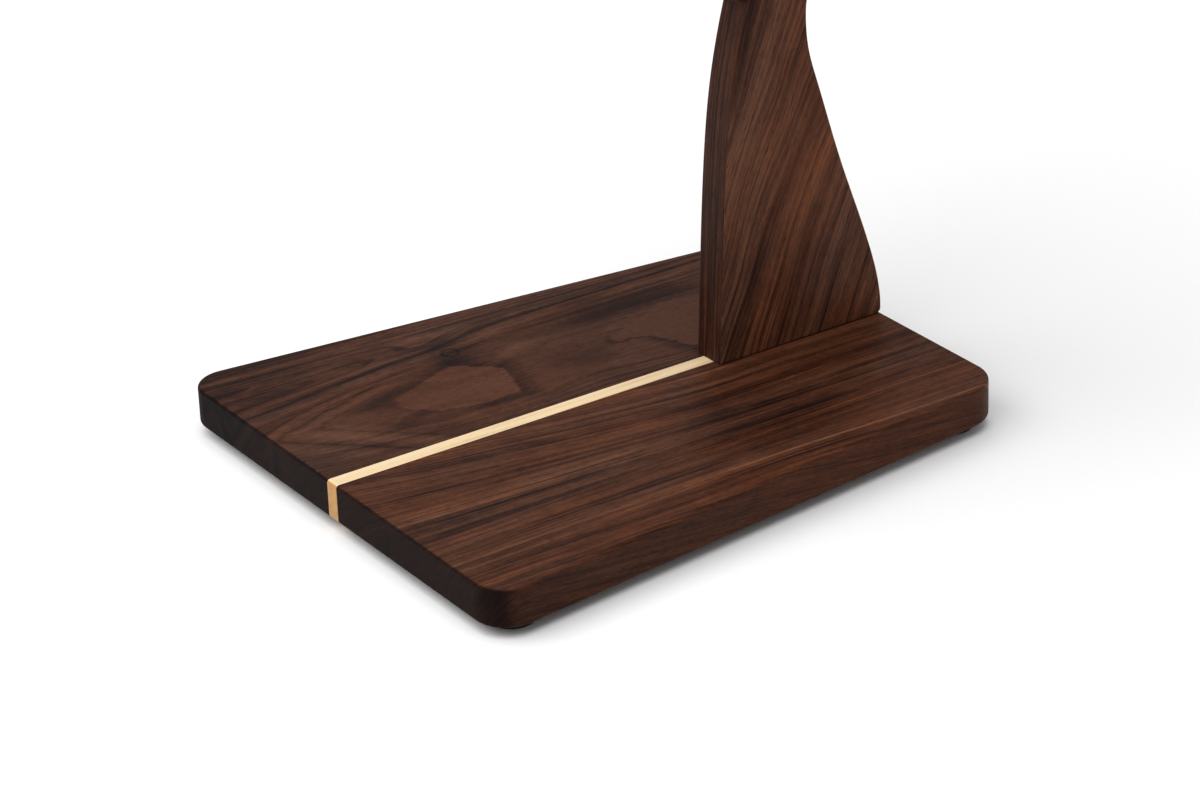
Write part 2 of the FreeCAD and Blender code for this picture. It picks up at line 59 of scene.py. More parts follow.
class Number:
    """A value in a shader graph, which plain arithmetic can be written with."""

    def __init__(self, graph, socket):
        self.graph = graph
        self.socket = socket

    def __add__(self, other):
        return self.graph.math("ADD", self, other)

    __radd__ = __add__

    def __sub__(self, other):
        return self.graph.math("SUBTRACT", self, other)

    def __rsub__(self, other):
        return self.graph.math("SUBTRACT", other, self)

    def __mul__(self, other):
        return self.graph.math("MULTIPLY", self, other)

    __rmul__ = __mul__

    def __truediv__(self, other):
        return self.graph.math("DIVIDE", self, other)

    def __rtruediv__(self, other):
        return self.graph.math("DIVIDE", other, self)

    def __abs__(self):
        return self.graph.math("ABSOLUTE", self)

    def squared(self):
        return self * self

    def root(self):
        return self.graph.math("SQRT", self)

    def positive(self):
        """The value where it is above zero, and zero elsewhere."""
        return self.graph.math("MAXIMUM", self, 0.0)

    def least(self, other, blend):
        """The smaller of two values, with the change-over rounded."""
        return self.graph.math("SMOOTH_MIN", self, other, blend)

    def most(self, other, blend):
        """The larger of two values, with the change-over rounded."""
        return self.graph.math("SMOOTH_MAX", self, other, blend)

    def towards(self, other, share):
        """The value moved a share of the way to another."""
        return self + (other - self) * share


class Graph:
    """The node tree of one material."""

    def __init__(self, name):
        self.material = bpy.data.materials.new(name)
        self.material.use_nodes = True
        self.tree = self.material.node_tree
        self.shader = self.tree.nodes["Principled BSDF"]

    def node(self, kind, **settings):
        made = self.tree.nodes.new(kind)
        for name, value in settings.items():
            setattr(made, name, value)
        return made

    def plug(self, value, socket):
        """Link a value to a socket, or set the socket to a plain number."""
        if isinstance(value, Number):
            self.tree.links.new(value.socket, socket)
        else:
            socket.default_value = value

    def math(self, operation, *values):
        made = self.node("ShaderNodeMath", operation=operation)
        for socket, value in zip(made.inputs, values):
            self.plug(value, socket)
        return Number(self, made.outputs[0])

    def vector(self, x, y, z):
        """The socket of a vector made from three values."""
        made = self.node("ShaderNodeCombineXYZ")
        for socket, value in zip(made.inputs, (x, y, z)):
            self.plug(value, socket)
        return made.outputs[0]

    def noise(self, x, y, z, detail=2.0, roughness=0.5):
        """Smooth noise between 0 and 1 about 0.5, at a point given by three values."""
        made = self.node("ShaderNodeTexNoise")
        made.inputs["Scale"].default_value = 1.0
        made.inputs["Detail"].default_value = detail
        made.inputs["Roughness"].default_value = roughness
        self.tree.links.new(self.vector(x, y, z), made.inputs["Vector"])
        return Number(self, made.outputs["Fac"])

    def spread(self, point, sizes, detail=2.0, roughness=0.5):
        """Noise that changes over one size, or over a size of its own in each direction."""
        if isinstance(sizes, float):
            sizes = (sizes, sizes, sizes)
        x, y, z = [value / size for value, size in zip(point, sizes)]
        return self.noise(x, y, z, detail, roughness)

    def waver(self, point, sizes, reach, detail=1.0, roughness=0.5):
        """The same noise about 0, up to half its reach either way."""
        return (self.spread(point, sizes, detail, roughness) - 0.5) * reach

    def cells(self, x, y, z):
        """Distance from the walls between small cells, at a point given by three values."""
        made = self.node("ShaderNodeTexVoronoi", feature="DISTANCE_TO_EDGE")
        made.inputs["Scale"].default_value = 1.0
        self.tree.links.new(self.vector(x, y, z), made.inputs["Vector"])
        return Number(self, made.outputs["Distance"])

    def step(self, value, low, high):
        """0 where the value is at low, 1 where it is at high, smooth between."""
        made = self.node("ShaderNodeMapRange", interpolation_type="SMOOTHSTEP")
        self.plug(value, made.inputs["Value"])
        made.inputs["From Min"].default_value = low
        made.inputs["From Max"].default_value = high
        return Number(self, made.outputs[0])

    def fade(self, value, low, high, start, end):
        """The same, from start where the value is at low to end where it is at high."""
        return self.step(value, low, high) * (end - start) + start

    def line(self, value, centre, half_width):
        """1 at the centre, falling to 0 at half a width from it."""
        return self.step(abs(value - centre), half_width, 0.0)

    def ramp(self, value, stops):
        made = self.node("ShaderNodeValToRGB")
        elements = made.color_ramp.elements
        while len(elements) < len(stops):
            elements.new(1.0)
        for element, (place, colour) in zip(elements, stops):
            element.position = place
            element.color = (*colour, 1.0)
        self.plug(value, made.inputs["Fac"])
        return Number(self, made.outputs["Color"])

    def mix(self, share, first, second, blend="MIX"):
        """Mix two colours, each a Number or three plain values."""
        made = self.node("ShaderNodeMix", data_type="RGBA", blend_type=blend)
        share_socket, first_socket, second_socket = made.inputs[0], made.inputs[6], made.inputs[7]
        self.plug(share, share_socket)
        for socket, colour in ((first_socket, first), (second_socket, second)):
            self.plug(colour if isinstance(colour, Number) else (*colour, 1.0), socket)
        return Number(self, made.outputs[2])

    def tinted(self, colour, tint):
        """A colour with its red, green and blue multiplied by a tint's."""
        return self.mix(1.0, colour, tint, "MULTIPLY")

    def place(self, origin=(0.0, 0.0, 0.0), lean=0.0):
        """Position in millimetres and facing direction, in a frame of the board's own."""
        source = self.node("ShaderNodeTexCoord")
        spot = self.node("ShaderNodeMapping", vector_type="TEXTURE")
        spot.inputs["Location"].default_value = [value * MM for value in origin]
        spot.inputs["Rotation"].default_value = (-lean, 0.0, 0.0)
        spot.inputs["Scale"].default_value = (MM, MM, MM)
        facing = self.node("ShaderNodeMapping", vector_type="VECTOR")
        facing.inputs["Rotation"].default_value = (lean, 0.0, 0.0)
        self.tree.links.new(source.outputs["Object"], spot.inputs["Vector"])
        self.tree.links.new(source.outputs["Normal"], facing.inputs["Vector"])
        parts = []
        for made in (spot, facing):
            split = self.node("ShaderNodeSeparateXYZ")
            self.tree.links.new(made.outputs[0], split.inputs[0])
            parts.append([Number(self, socket) for socket in split.outputs])
        return parts

    def finish(self, colour, roughness, height=None, depth=0.0, specular=0.5):
        """Feed the principled shader. The bump's height counts for depth millimetres."""
        self.plug(colour, self.shader.inputs["Base Color"])
        self.plug(roughness, self.shader.inputs["Roughness"])
        self.shader.inputs["Specular IOR Level"].default_value = specular
        if height is not None:
            bump = self.node("ShaderNodeBump")
            bump.inputs["Distance"].default_value = depth * MM
            self.plug(height, bump.inputs["Height"])
            self.tree.links.new(bump.outputs[0], self.shader.inputs["Normal"])
        return self.material


# ------------------------------------------------------------ walnut

# A layer of noise in walnut: the distance across the grain, along it and through the
# board over which it changes, in millimetres, and its weight in the shade or the colour.
# The offset sets it apart from the other layers. Fibres run straight, and the other
# layers follow the rings.
Layer = namedtuple("Layer", "across along through detail weight roughness offset fibres",
                   defaults=(1.0, 0.5, 0.0, False))
BROAD = Layer(10.0, 420.0, 40.0, detail=2.0, weight=0.36)
STREAK = Layer(2.1, 190.0, 14.0, detail=3.0, weight=0.85, roughness=0.55, offset=3.3)
FINE = Layer(0.7, 80.0, 4.0, detail=2.0, weight=0.90, roughness=0.6, offset=7.1, fibres=True)
MOTTLE = Layer(5.5, 17.0, 6.0, detail=3.0, weight=0.42, roughness=0.6, offset=5.7, fibres=True)
FLECK = Layer(1.0, 3.4, 1.1, detail=3.0, weight=0.34, roughness=0.65, offset=1.9, fibres=True)
DARK_LINE = Layer(1.6, 150.0, 12.0, detail=1.0, weight=0.24, offset=11.9)
PORE = Layer(0.34, 6.5, 0.8, detail=1.0, weight=0.55, fibres=True)
DRIFT = Layer(22.0, 130.0, 30.0, detail=2.0)

# Values of their noise between which the dark lines, pores and drift come in
DARK_LINE_CUT = (0.58, 0.70)
PORE_CUT = (0.60, 0.70)
DRIFT_CUT = (0.3, 0.7)

WALNUT_RAMP = (
    (0.00, (0.0080, 0.0034, 0.0028)),
    (0.26, (0.0250, 0.0088, 0.0052)),
    (0.50, (0.0640, 0.0222, 0.0104)),
    (0.74, (0.1080, 0.0405, 0.0200)),
    (1.00, (0.1800, 0.0680, 0.0300)),
)
WALNUT_SHADE = 0.50
ORANGE_TINT = (1.10, 0.97, 0.88)
PURPLE_TINT = (0.93, 1.01, 1.14)
END_TINT = (0.285, 0.285, 0.305)
PORE_COLOUR = (0.012, 0.006, 0.005)

# The surface of walnut: its roughness, what fine fibres, pores and end grain add to it,
# and the height of the fibres as a share of the pores' depth, which is the relief
WALNUT_ROUGHNESS = 0.48
FINE_ROUGHNESS = 0.25
PORE_ROUGHNESS = 0.15
END_ROUGHNESS = 0.15
FINE_HEIGHT = 0.35
WALNUT_RELIEF = 0.045
WALNUT_SPECULAR = 0.06


class Grain:
    """Where a point is in the grain of a board, in millimetres, and what marks it.

    across counts growth rings, along follows the grain, through is the third way.
    straight is across for the fibres and pores, which don't follow the rings' figure.
    shade makes the wood lighter (above 0) or darker, calm makes its streaks fainter,
    and end is 1 on end grain.
    """

    def __init__(self, across, along, through, end, shade=0.0, calm=0.0, straight=None):
        self.across = across
        self.straight = straight or across
        self.along = along
        self.through = through
        self.end = end
        self.shade = shade
        self.calm = calm


def layer(graph, grain, kind, seed):
    """A layer's noise at a point, stretched along the grain."""
    sideways = grain.straight if kind.fibres else grain.across
    return graph.noise(sideways / kind.across + (seed + kind.offset), grain.along / kind.along,
                       grain.through / kind.through, kind.detail, kind.roughness)


def swing(noise, kind):
    """How much lighter or darker a layer's noise makes the wood."""
    return (noise - 0.5) * kind.weight


def walnut(name, figure, seed, origin=(0.0, 0.0, 0.0), lean=0.0, tone=0.0, tint=(1.0, 1.0, 1.0)):
    """A walnut board whose figure function gives the grain at a point."""
    graph = Graph(name)
    point, facing = graph.place(origin, lean)
    grain = figure(graph, point, facing)
    broad, streak, fine, mottle, fleck, dark_line, pore, drift = [
        layer(graph, grain, kind, seed)
        for kind in (BROAD, STREAK, FINE, MOTTLE, FLECK, DARK_LINE, PORE, DRIFT)]
    dark_line = graph.step(dark_line, *DARK_LINE_CUT)
    pore = graph.step(pore, *PORE_CUT)
    streaky = (swing(broad, BROAD) + swing(streak, STREAK) + swing(fine, FINE)
               + swing(mottle, MOTTLE) - dark_line * DARK_LINE.weight)
    shade = streaky * (1.0 - grain.calm) + swing(fleck, FLECK) + (WALNUT_SHADE + tone) + grain.shade
    colour = graph.tinted(graph.ramp(shade, WALNUT_RAMP), tint)

    # The colour drifts slowly from orange to purple
    colour = graph.mix(graph.step(drift, *DRIFT_CUT), graph.tinted(colour, ORANGE_TINT),
                       graph.tinted(colour, PURPLE_TINT))
    colour = graph.mix(pore * PORE.weight, colour, PORE_COLOUR)

    # End grain drinks more oil, so it is darker and greyer
    colour = graph.mix(grain.end, colour, graph.tinted(colour, END_TINT))
    roughness = (WALNUT_ROUGHNESS + (fine - 0.5) * FINE_ROUGHNESS + pore * PORE_ROUGHNESS
                 + grain.end * END_ROUGHNESS)
    height = (fine - 0.5) * FINE_HEIGHT - pore
    return graph.finish(colour, roughness, height, WALNUT_RELIEF, WALNUT_SPECULAR)


# ------------------------------------------------------------ marks in a figure

# A mark's weight is how much lighter (above 0) or darker it makes the wood. A table of
# streaks gives the centre, half width and weight of each. A stroke or an oval comes in
# between faint and full: two places along the stroke, or two distances in the oval,
# whose edge is at 1. Places and sizes are in millimetres.
Stroke = namedtuple("Stroke", "centre half_width faint full weight")
Oval = namedtuple("Oval", "middle halves faint full weight")


def streaks(graph, across, marks):
    """The streaks of a table, which run the whole way along."""
    total = 0.0
    for centre, half_width, weight in marks:
        total = graph.line(across, centre, half_width) * weight + total
    return total


def stroke(graph, mark, across, along):
    """A single streak that comes in on its way along."""
    line = graph.line(across, mark.centre, mark.half_width)
    return line * graph.step(along, mark.faint, mark.full) * mark.weight


def oval_reach(x, y, middle, halves):
    """0 in the middle of an oval and 1 on its edge, growing with the distance squared."""
    return ((x - middle[0]) / halves[0]).squared() + ((y - middle[1]) / halves[1]).squared()


def oval(graph, mark, x, y):
    """A soft patch."""
    return graph.step(oval_reach(x, y, mark.middle, mark.halves), mark.faint, mark.full) * mark.weight


# How far a surface looks along the grain where its end grain starts, and where it is full.
# The base's reaches further round its front corners than round its back ones.
END_START = 0.40
END_FULL = 0.90
BASE_END_BIAS = 0.2


def end_share(graph, facing_along, bias=0.0):
    """How much of a surface is end grain. The bias gives more of it to one end."""
    return graph.step(abs(facing_along - bias), END_START, END_FULL)


# Depths under the base's upper face between which its rounded edge turns into its side
SIDE_START = 0.3
SIDE_FULL = 1.4


def side_share(graph, z):
    """How much of the base's surface at a height is its side."""
    return graph.step(z, BASE_TOP - SIDE_START, BASE_TOP - SIDE_FULL)


# ------------------------------------------------------------ right board of the base

# In the front half the grain leans towards the strip: fully at the inner X, and not at
# all beyond the outer X. The slant is how far the rings move sideways with the depth.
LEAN_INNER_X = 10.0
LEAN_OUTER_X = 72.0
LEAN_START_Y = 40.0
LEAN_ROUNDING = 60.0
LEAN_SLOPE = 0.16
RIGHT_SLANT = 0.8
RIGHT_SHADE = 0.03
RIGHT_SIDE_CALM = 0.55
END_FADING = 0.7        # the share of its streaks that end grain loses

RIGHT_MARKS = (
    (16.0, 11.0, 0.09),
    (36.5, 4.0, -0.28),
    (48.0, 6.0, 0.07),
    (61.0, 2.0, 0.15),
    (67.0, 2.6, -0.20),
    (73.5, 2.6, -0.20),
    (84.0, 3.0, 0.08),
    (99.5, 1.8, 0.16),
    (110.0, 4.0, -0.08),
)
# Painted shade: a darker patch right of the post, where the post and the rest above shade the board
RIGHT_PAINTED_SHADE_PATCH = Oval((64.0, 38.0), (36.0, 42.0), 1.4, 0.1, -0.15)
RIGHT_HAIR = Stroke(33.0, 0.8, 0.0, 40.0, -0.24)
RIGHT_HAIR_SLOPE = 0.055
# Painted highlight: a pale line along the board's right top edge, towards the back, over the pale
# grain streak at the same place
RIGHT_PAINTED_EDGE_HIGHLIGHT = Stroke(99.5, 1.8, -60.0, 60.0, 0.28)


def right_board(graph, point, facing):
    """Straight grain, which leans towards the strip in the board's front half."""
    x, y, z = point
    near_strip = (LEAN_OUTER_X - x).positive() / (LEAN_OUTER_X - LEAN_INNER_X)
    leaning = (LEAN_START_Y - y).most(0.0, LEAN_ROUNDING) * near_strip * LEAN_SLOPE
    wander = graph.waver(point, sizes=(60.0, 110.0, 60.0), reach=6.0)
    across = x + leaning + (BASE_TOP - z) * RIGHT_SLANT + wander

    end = end_share(graph, facing[1], BASE_END_BIAS)
    side = side_share(graph, z)
    broken = graph.spread(point, sizes=(25.0, 70.0, 25.0), detail=1.0)
    strength = graph.fade(broken, 0.30, 0.60, start=0.4, end=1.0) * (1.0 - end * END_FADING)
    marks = (streaks(graph, across, RIGHT_MARKS) * strength
             # painted shade beside and behind the post
             + oval(graph, RIGHT_PAINTED_SHADE_PATCH, x, y)
             + stroke(graph, RIGHT_HAIR, x - y * RIGHT_HAIR_SLOPE, y)
             # painted highlight along the right top edge
             + stroke(graph, RIGHT_PAINTED_EDGE_HIGHLIGHT, across, y))

    # Painted shade: the side is darker than the top, and darkest at its front end
    side_painted_shade = (graph.fade(y, -95.0, -140.0, start=0.0, end=0.12)
            + graph.fade(y, 60.0, -20.0, start=0.05, end=0.10))
    return Grain(across, y, z, end, marks - side * side_painted_shade + RIGHT_SHADE, side * RIGHT_SIDE_CALM)


# ------------------------------------------------------------ left board of the base

# An outline of rounded straight sides: its middle, how much its corners are rounded, and
# for each side the direction it looks, in degrees, and its distance from the middle
Outline = namedtuple("Outline", "middle rounding sides")
FRONT_ISLAND = Outline((-46.0, -52.0), 0.14, (
    (200, 17.8), (140, 21.5), (74, 24.5), (0, 20.5), (-16, 20.0), (-45, 24.4), (-90, 31.5)))
BACK_ISLAND = Outline((-38.0, 75.0), 0.18, (
    (175, 26.0), (208, 26.0), (-70, 24.0), (0, 30.0), (90, 60.0)))
BACK_TIP = Outline((-46.0, 46.0), 0.30, ((200, 7.5), (-20, 7.5), (-90, 14.0), (90, 16.0)))
POINTED_RING = Outline((-46.0, -52.0), 0.35, ((198, 14.0), (-43, 25.6)))

# Half sizes of the ovals that the grain parts round
FRONT_PARTING = (29.0, 74.0)
BACK_PARTING = (26.0, 60.0)

# The knot: its middle, how far off the rings still feel it, how far it pushes them and
# the streaks, how far its smoke reaches, and the ring round it
KNOT = (-80.0, -36.0)
KNOT_REACH = 34.0
KNOT_CORE = 4.0
KNOT_PUSH = 4.0
KNOT_MARKS_PUSH = 1.5
KNOT_SMOKE_REACH = 20.0
KNOT_RING = ((4.0, 1.6, -0.22),)

# By the outer edge the grain follows the edge's taper. Further in it bends in front, and
# further in still it turns into the figure. The slants are how far the rings and the
# streaks move sideways with the depth.
TAPER_X = (-90.0, -108.0)
FIGURE_X = (-92.0, -72.0)
TAPER_SLOPE = 0.08
BEND_SLOPE = 0.12
LEFT_FIBRE_SLOPE = 0.05
LEFT_SLANT = 0.5
LEFT_MARKS_SLANT = 0.8

# What lightens and darkens the left board as a whole, and in parts. Its darker side and the extra
# darkening of its end grain are painted shade.
LEFT_SHADE = 0.04
LEFT_SIDE_PAINTED_SHADE = 0.10
LEFT_END_PAINTED_SHADE = 0.08
CORNER_DARK = 0.18
CLOUD_WEIGHT = 0.26
ISLAND_PALE = 0.08

# How much fainter the streaks of the wood are in the figure, on the islands and the side
FIGURE_CALM = 0.35
ISLAND_CALM = 0.38
LEFT_SIDE_CALM = 0.4

LEFT_MARKS = (
    (-117.0, 4.0, -0.22),
    (-110.5, 2.0, 0.03),
    (-105.0, 2.2, -0.28),
    (-100.0, 2.2, 0.12),
    (-95.0, 2.4, -0.36),
    (-89.5, 4.0, 0.16),
    (-84.5, 1.4, -0.12),
)
LEFT_SEAM = Stroke(-80.5, 1.6, -8.0, 12.0, -0.16)

# Marks measured by how far out they are in the pointed ring
RING_MARKS = (
    (1.50, 0.34, -0.10),
    (1.88, 0.06, -0.10),
    (2.12, 0.28, 0.15),
    (2.44, 0.08, -0.16),
    (2.70, 0.24, 0.10),
)

# Dark bands beside the back island and between the islands. Their places along the board
# are distances from the middle of the band.
BESIDE_BAND = Stroke(-73.0, 14.0, 50.0, 18.0, -0.26)
BESIDE_BAND_Y = 60.0
BETWEEN_BAND = Stroke(-36.0, 26.0, 40.0, 6.0, -0.11)
BETWEEN_BAND_Y = 6.0


def outline_reach(x, y, outline):
    """How far out a point is in an outline: 0 in the middle, 1 on its edge."""
    reach = None
    for angle, distance in outline.sides:
        out_x = math.cos(math.radians(angle)) / distance
        out_y = math.sin(math.radians(angle)) / distance
        side = (x - outline.middle[0]) * out_x + (y - outline.middle[1]) * out_y
        reach = side if reach is None else reach.most(side, outline.rounding)
    return reach


def parted(x, y, middle, halves):
    """How much of its distance from the middle counts for grain that parts round an oval."""
    return 1.0 - 1.0 / oval_reach(x, y, middle, halves).most(1.1, 0.4)


def rim(graph, reach, full, outer, weight):
    """A dark rim that starts at an island's edge and fades out away from it."""
    return graph.step(reach, 0.98, full) * graph.step(reach, outer, 1.05) * weight


class LeftFigure:
    """The parts of the left board's figure at a point."""

    def __init__(self, graph, point):
        x, y, z = point
        self.graph = graph
        self.x = x
        self.y = y
        self.depth = BASE_TOP - z
        ripple = graph.waver(point, sizes=(9.0, 11.0, 26.0), reach=9.0, detail=4.0, roughness=0.6)
        self.swell = graph.waver(point, sizes=(40.0, 70.0, 40.0), reach=10.0)
        self.cloud = graph.spread(point, sizes=(12.0, 24.0, 20.0), detail=3.0, roughness=0.6)

        self.front = outline_reach(x + ripple * 0.6, y - ripple * 0.6, FRONT_ISLAND)
        back = outline_reach(x + ripple, y - ripple, BACK_ISLAND)
        tip = outline_reach(x + ripple, y - ripple, BACK_TIP)
        self.back = back.least(tip, 0.2)
        self.ring = outline_reach(x + ripple * 0.5 + self.swell * 0.3,
                                  y + ripple * 0.4 + self.swell * 0.4, POINTED_RING)
        self.on_island = graph.step(self.front.least(self.back, 0.1), 1.05, 0.9)
        self.from_knot = oval_reach(x, y, KNOT, (1.0, 1.0)).root()
        self.near_knot = graph.step(self.from_knot, KNOT_REACH, KNOT_CORE)

    def by_edge(self):
        """Where the point is across the straight grain near the board's outer edge."""
        outer = self.graph.step(self.x, *TAPER_X)
        bend = self.y.least(0.0, 20.0) * (1.0 - outer) * BEND_SLOPE
        return self.x - self.y * outer * TAPER_SLOPE + bend + self.swell * 0.2

    def across(self, edge):
        """Where the point is across the rings, which part round the islands and the knot."""
        x, y = self.x, self.y
        middle = FRONT_ISLAND.middle[0]
        parting = (parted(x, y, FRONT_ISLAND.middle, FRONT_PARTING)
                   * parted(x, y, BACK_ISLAND.middle, BACK_PARTING))
        inner = (x - middle) * parting + middle + self.swell * 0.6
        rings = edge.towards(inner, self.graph.step(x, *FIGURE_X))
        return rings - self.near_knot * KNOT_PUSH + self.depth * LEFT_SLANT

    def outer_streaks(self, edge):
        """Straight streaks near the outer edge, broken up by the clouds."""
        place = edge - self.near_knot * KNOT_MARKS_PUSH + self.depth * LEFT_MARKS_SLANT
        strength = self.graph.fade(self.cloud, 0.25, 0.6, start=0.4, end=1.0)
        return streaks(self.graph, place, LEFT_MARKS) * strength

    def islands(self):
        """The pale islands, their dark rims, and the dark bands beside and between them."""
        graph, x, y = self.graph, self.x, self.y
        pale = (graph.step(self.front, 1.03, 0.95) + graph.step(self.back, 1.02, 0.96)) * ISLAND_PALE
        front_rim = (rim(graph, self.front, 1.06, 1.60, -0.27)
                     * graph.fade(x * 0.5 + y, -110.0, -66.0, start=0.4, end=1.0))
        back_rim = rim(graph, self.back, 1.05, 1.40, -0.24) * graph.step(x, -58.0, -40.0)
        beside = (stroke(graph, BESIDE_BAND, x + self.swell * 0.5, abs(y - BESIDE_BAND_Y))
                  * graph.step(self.back, 0.97, 1.03))
        between = stroke(graph, BETWEEN_BAND, x, abs(y - BETWEEN_BAND_Y))
        strength = graph.fade(self.cloud, 0.30, 0.62, start=0.7, end=1.3)
        return pale + back_rim + (front_rim + beside + between) * strength

    def pointed(self):
        """Lines that follow the pointed ring, in front of the islands."""
        return streaks(self.graph, self.ring, RING_MARKS) * self.graph.step(self.y, -60.0, -90.0)

    def knot(self):
        """A dark ring in a smoky patch, and the seam that runs back from it."""
        near = self.graph.step(self.from_knot, KNOT_SMOKE_REACH, KNOT_CORE)
        smoke = near * (self.cloud * 0.24 + 0.06)
        seam = stroke(self.graph, LEFT_SEAM, self.x + self.swell * 0.2, self.y)
        return streaks(self.graph, self.from_knot, KNOT_RING) + seam - smoke

    def clouds(self):
        """Uneven shade outside the islands, and a darker front corner."""
        corner = self.graph.step(self.y, -60.0, -130.0) * self.graph.step(self.x, -70.0, -105.0)
        clouds = (self.cloud - 0.5) * CLOUD_WEIGHT * (1.0 - self.on_island)
        return clouds - corner * CORNER_DARK


def left_board(graph, point, facing):
    """Flat-sawn figure: straight by the edge, parted round two pale islands and a knot."""
    x, y, z = point
    figure = LeftFigure(graph, point)
    edge = figure.by_edge()
    side = side_share(graph, z)
    end = end_share(graph, facing[1], BASE_END_BIAS)
    # Painted shade darkens the side and the end grain
    shade = (figure.outer_streaks(edge) + figure.islands() + figure.pointed() + figure.knot()
             + figure.clouds() - side * LEFT_SIDE_PAINTED_SHADE - end * LEFT_END_PAINTED_SHADE + LEFT_SHADE)
    calm = (graph.step(x, -88.0, -74.0) * FIGURE_CALM + figure.on_island * ISLAND_CALM
            + side * LEFT_SIDE_CALM)
    return Grain(figure.across(edge), y, z, end, shade, calm, straight=x - y * LEFT_FIBRE_SLOPE)


# ------------------------------------------------------------ post

# The grain climbs backwards at this angle from upright. It bends in the lower part, fans
# out in the front part, and bows a little along its whole length.
POST_CLIMB = math.radians(27.0)
LOW_BEND = 0.11
LOW_BEND_TOP = 80.0
LOW_BEND_ROUNDING = 40.0
FAN_ACROSS = 44.0
FAN_ALONG = 100.0
FAN_SLOPE = 0.0033
BOW_ALONG = 70.0
BOW = 0.0002

POST_MARKS = (
    (3.0, 4.0, -0.16),
    (13.0, 2.6, 0.14),
    (19.0, 2.0, 0.12),
    (33.0, 6.0, 0.08),
    (43.0, 1.5, -0.05),
    (51.0, 4.0, 0.12),
    (62.0, 2.6, 0.18),
    (70.0, 3.0, -0.12),
    (84.0, 3.0, 0.10),
)
POST_LOW_DARK = Oval((104.0, 24.0), (22.0, 30.0), 1.3, 0.2, -0.09)
# Painted shadow: a dark band just behind the post's front edge near its top, under the bracket
POST_NECK_PAINTED_SHADOW = Stroke(35.0, 5.0, 112.0, 142.0, -0.20)
POST_NECK_SLOPE = 0.246
POST_LOW_LIGHT = Stroke(42.0, 7.0, 95.0, 35.0, 0.20)
POST_MIDDLE_LIGHT = ((85.0, 55.0, 0.13),)
# Painted shade that darkens the post's front and back edges
POST_EDGE_PAINTED_SHADE = 0.28
POST_EDGE_RINGS = 1.1


def post_board(graph, point, facing):
    """Grain that climbs backwards across the post, with fine upright lines on its edges."""
    x, y, z = point
    up = z - BASE_TOP
    along = y * math.sin(POST_CLIMB) + up * math.cos(POST_CLIMB)
    across = (y * math.cos(POST_CLIMB) - up * math.sin(POST_CLIMB)
              - (LOW_BEND_TOP - up).most(0.0, LOW_BEND_ROUNDING) * LOW_BEND)
    fan = (FAN_ACROSS - across).positive() * (along - FAN_ALONG) * FAN_SLOPE
    wander = graph.waver((y, up, x), sizes=(34.0, 60.0, 30.0), reach=5.0)
    across = across + fan + wander - (along - BOW_ALONG).squared() * BOW
    marks = (streaks(graph, across, POST_MARKS) + streaks(graph, up, POST_MIDDLE_LIGHT)
             + oval(graph, POST_LOW_DARK, y, up)
             # painted shadow under the bracket
             + stroke(graph, POST_NECK_PAINTED_SHADOW, y - up * POST_NECK_SLOPE, up))

    # On the front and back edges the rings are cut along their length
    edge = graph.step(abs(facing[1]), 0.55, 0.85)
    across = across.towards(x * POST_EDGE_RINGS, edge)
    along = along.towards(up, edge)
    marks = marks + stroke(graph, POST_LOW_LIGHT, across, along)
    # The front and back edges are darkened with painted shade
    shade = marks * (1.0 - edge) - edge * POST_EDGE_PAINTED_SHADE
    return Grain(across, along, x * (1.0 - edge), 0.0, shade)


# ------------------------------------------------------------ boards of the rest

PANEL_BOW_HEIGHT = 150.0
PANEL_BOW = 0.0006

# Cosine and sine of the angle at which rings slope between Y and Z
RING_SLOPE = (0.8, 0.6)


def sloped(y, z):
    """Y and Z, turned by the slope of the rings."""
    level, upright = RING_SLOPE
    return y * level + z * upright, z * level - y * upright


def rest_board(graph, point, facing):
    """Upright grain, for the two halves of the panel."""
    x, y, z = point
    wander = graph.waver((x, z, y), sizes=(50.0, 90.0, 50.0), reach=14.0)
    bow = (z - PANEL_BOW_HEIGHT).squared() * PANEL_BOW
    return Grain(abs(x) + bow + wander, z, y, end_share(graph, facing[2]))


def cross_board(graph, point, facing):
    """Grain from side to side, for the ledge, the lip and the battens."""
    x, y, z = point
    wander = graph.waver(point, sizes=(80.0, 20.0, 20.0), reach=8.0)
    across, through = sloped(y, z)
    return Grain(across + wander, x, through, end_share(graph, facing[0]))


def bracket_board(graph, point, facing):
    """Grain that slopes up and forwards."""
    x, y, z = point
    wander = graph.waver(point, sizes=(20.0, 30.0, 40.0), reach=6.0)
    across, along = sloped(y, z)
    return Grain(across + wander, along, x, 0.0)


# ------------------------------------------------------------ pale woods

MAPLE_RAMP = (
    (0.00, (0.56, 0.36, 0.17)),
    (0.45, (0.80, 0.60, 0.355)),
    (1.00, (0.86, 0.68, 0.43)),
)
MAPLE_END = (0.60, 0.40, 0.19)
MAPLE_FIGURE = (2.6, 90.0)          # across the grain and along it
BEECH_RAMP = (
    (0.00, (0.50, 0.31, 0.17)),
    (1.00, (0.74, 0.54, 0.36)),
)
BEECH_END = (0.8, 0.75, 0.7)
BEECH_FIGURE = (1.2, 30.0)
PALE_FLECK = (0.5, 4.0, 0.5)
PALE_FLECK_WEIGHT = 0.5
PALE_ROUGHNESS = 0.42
PALE_RELIEF = 0.02


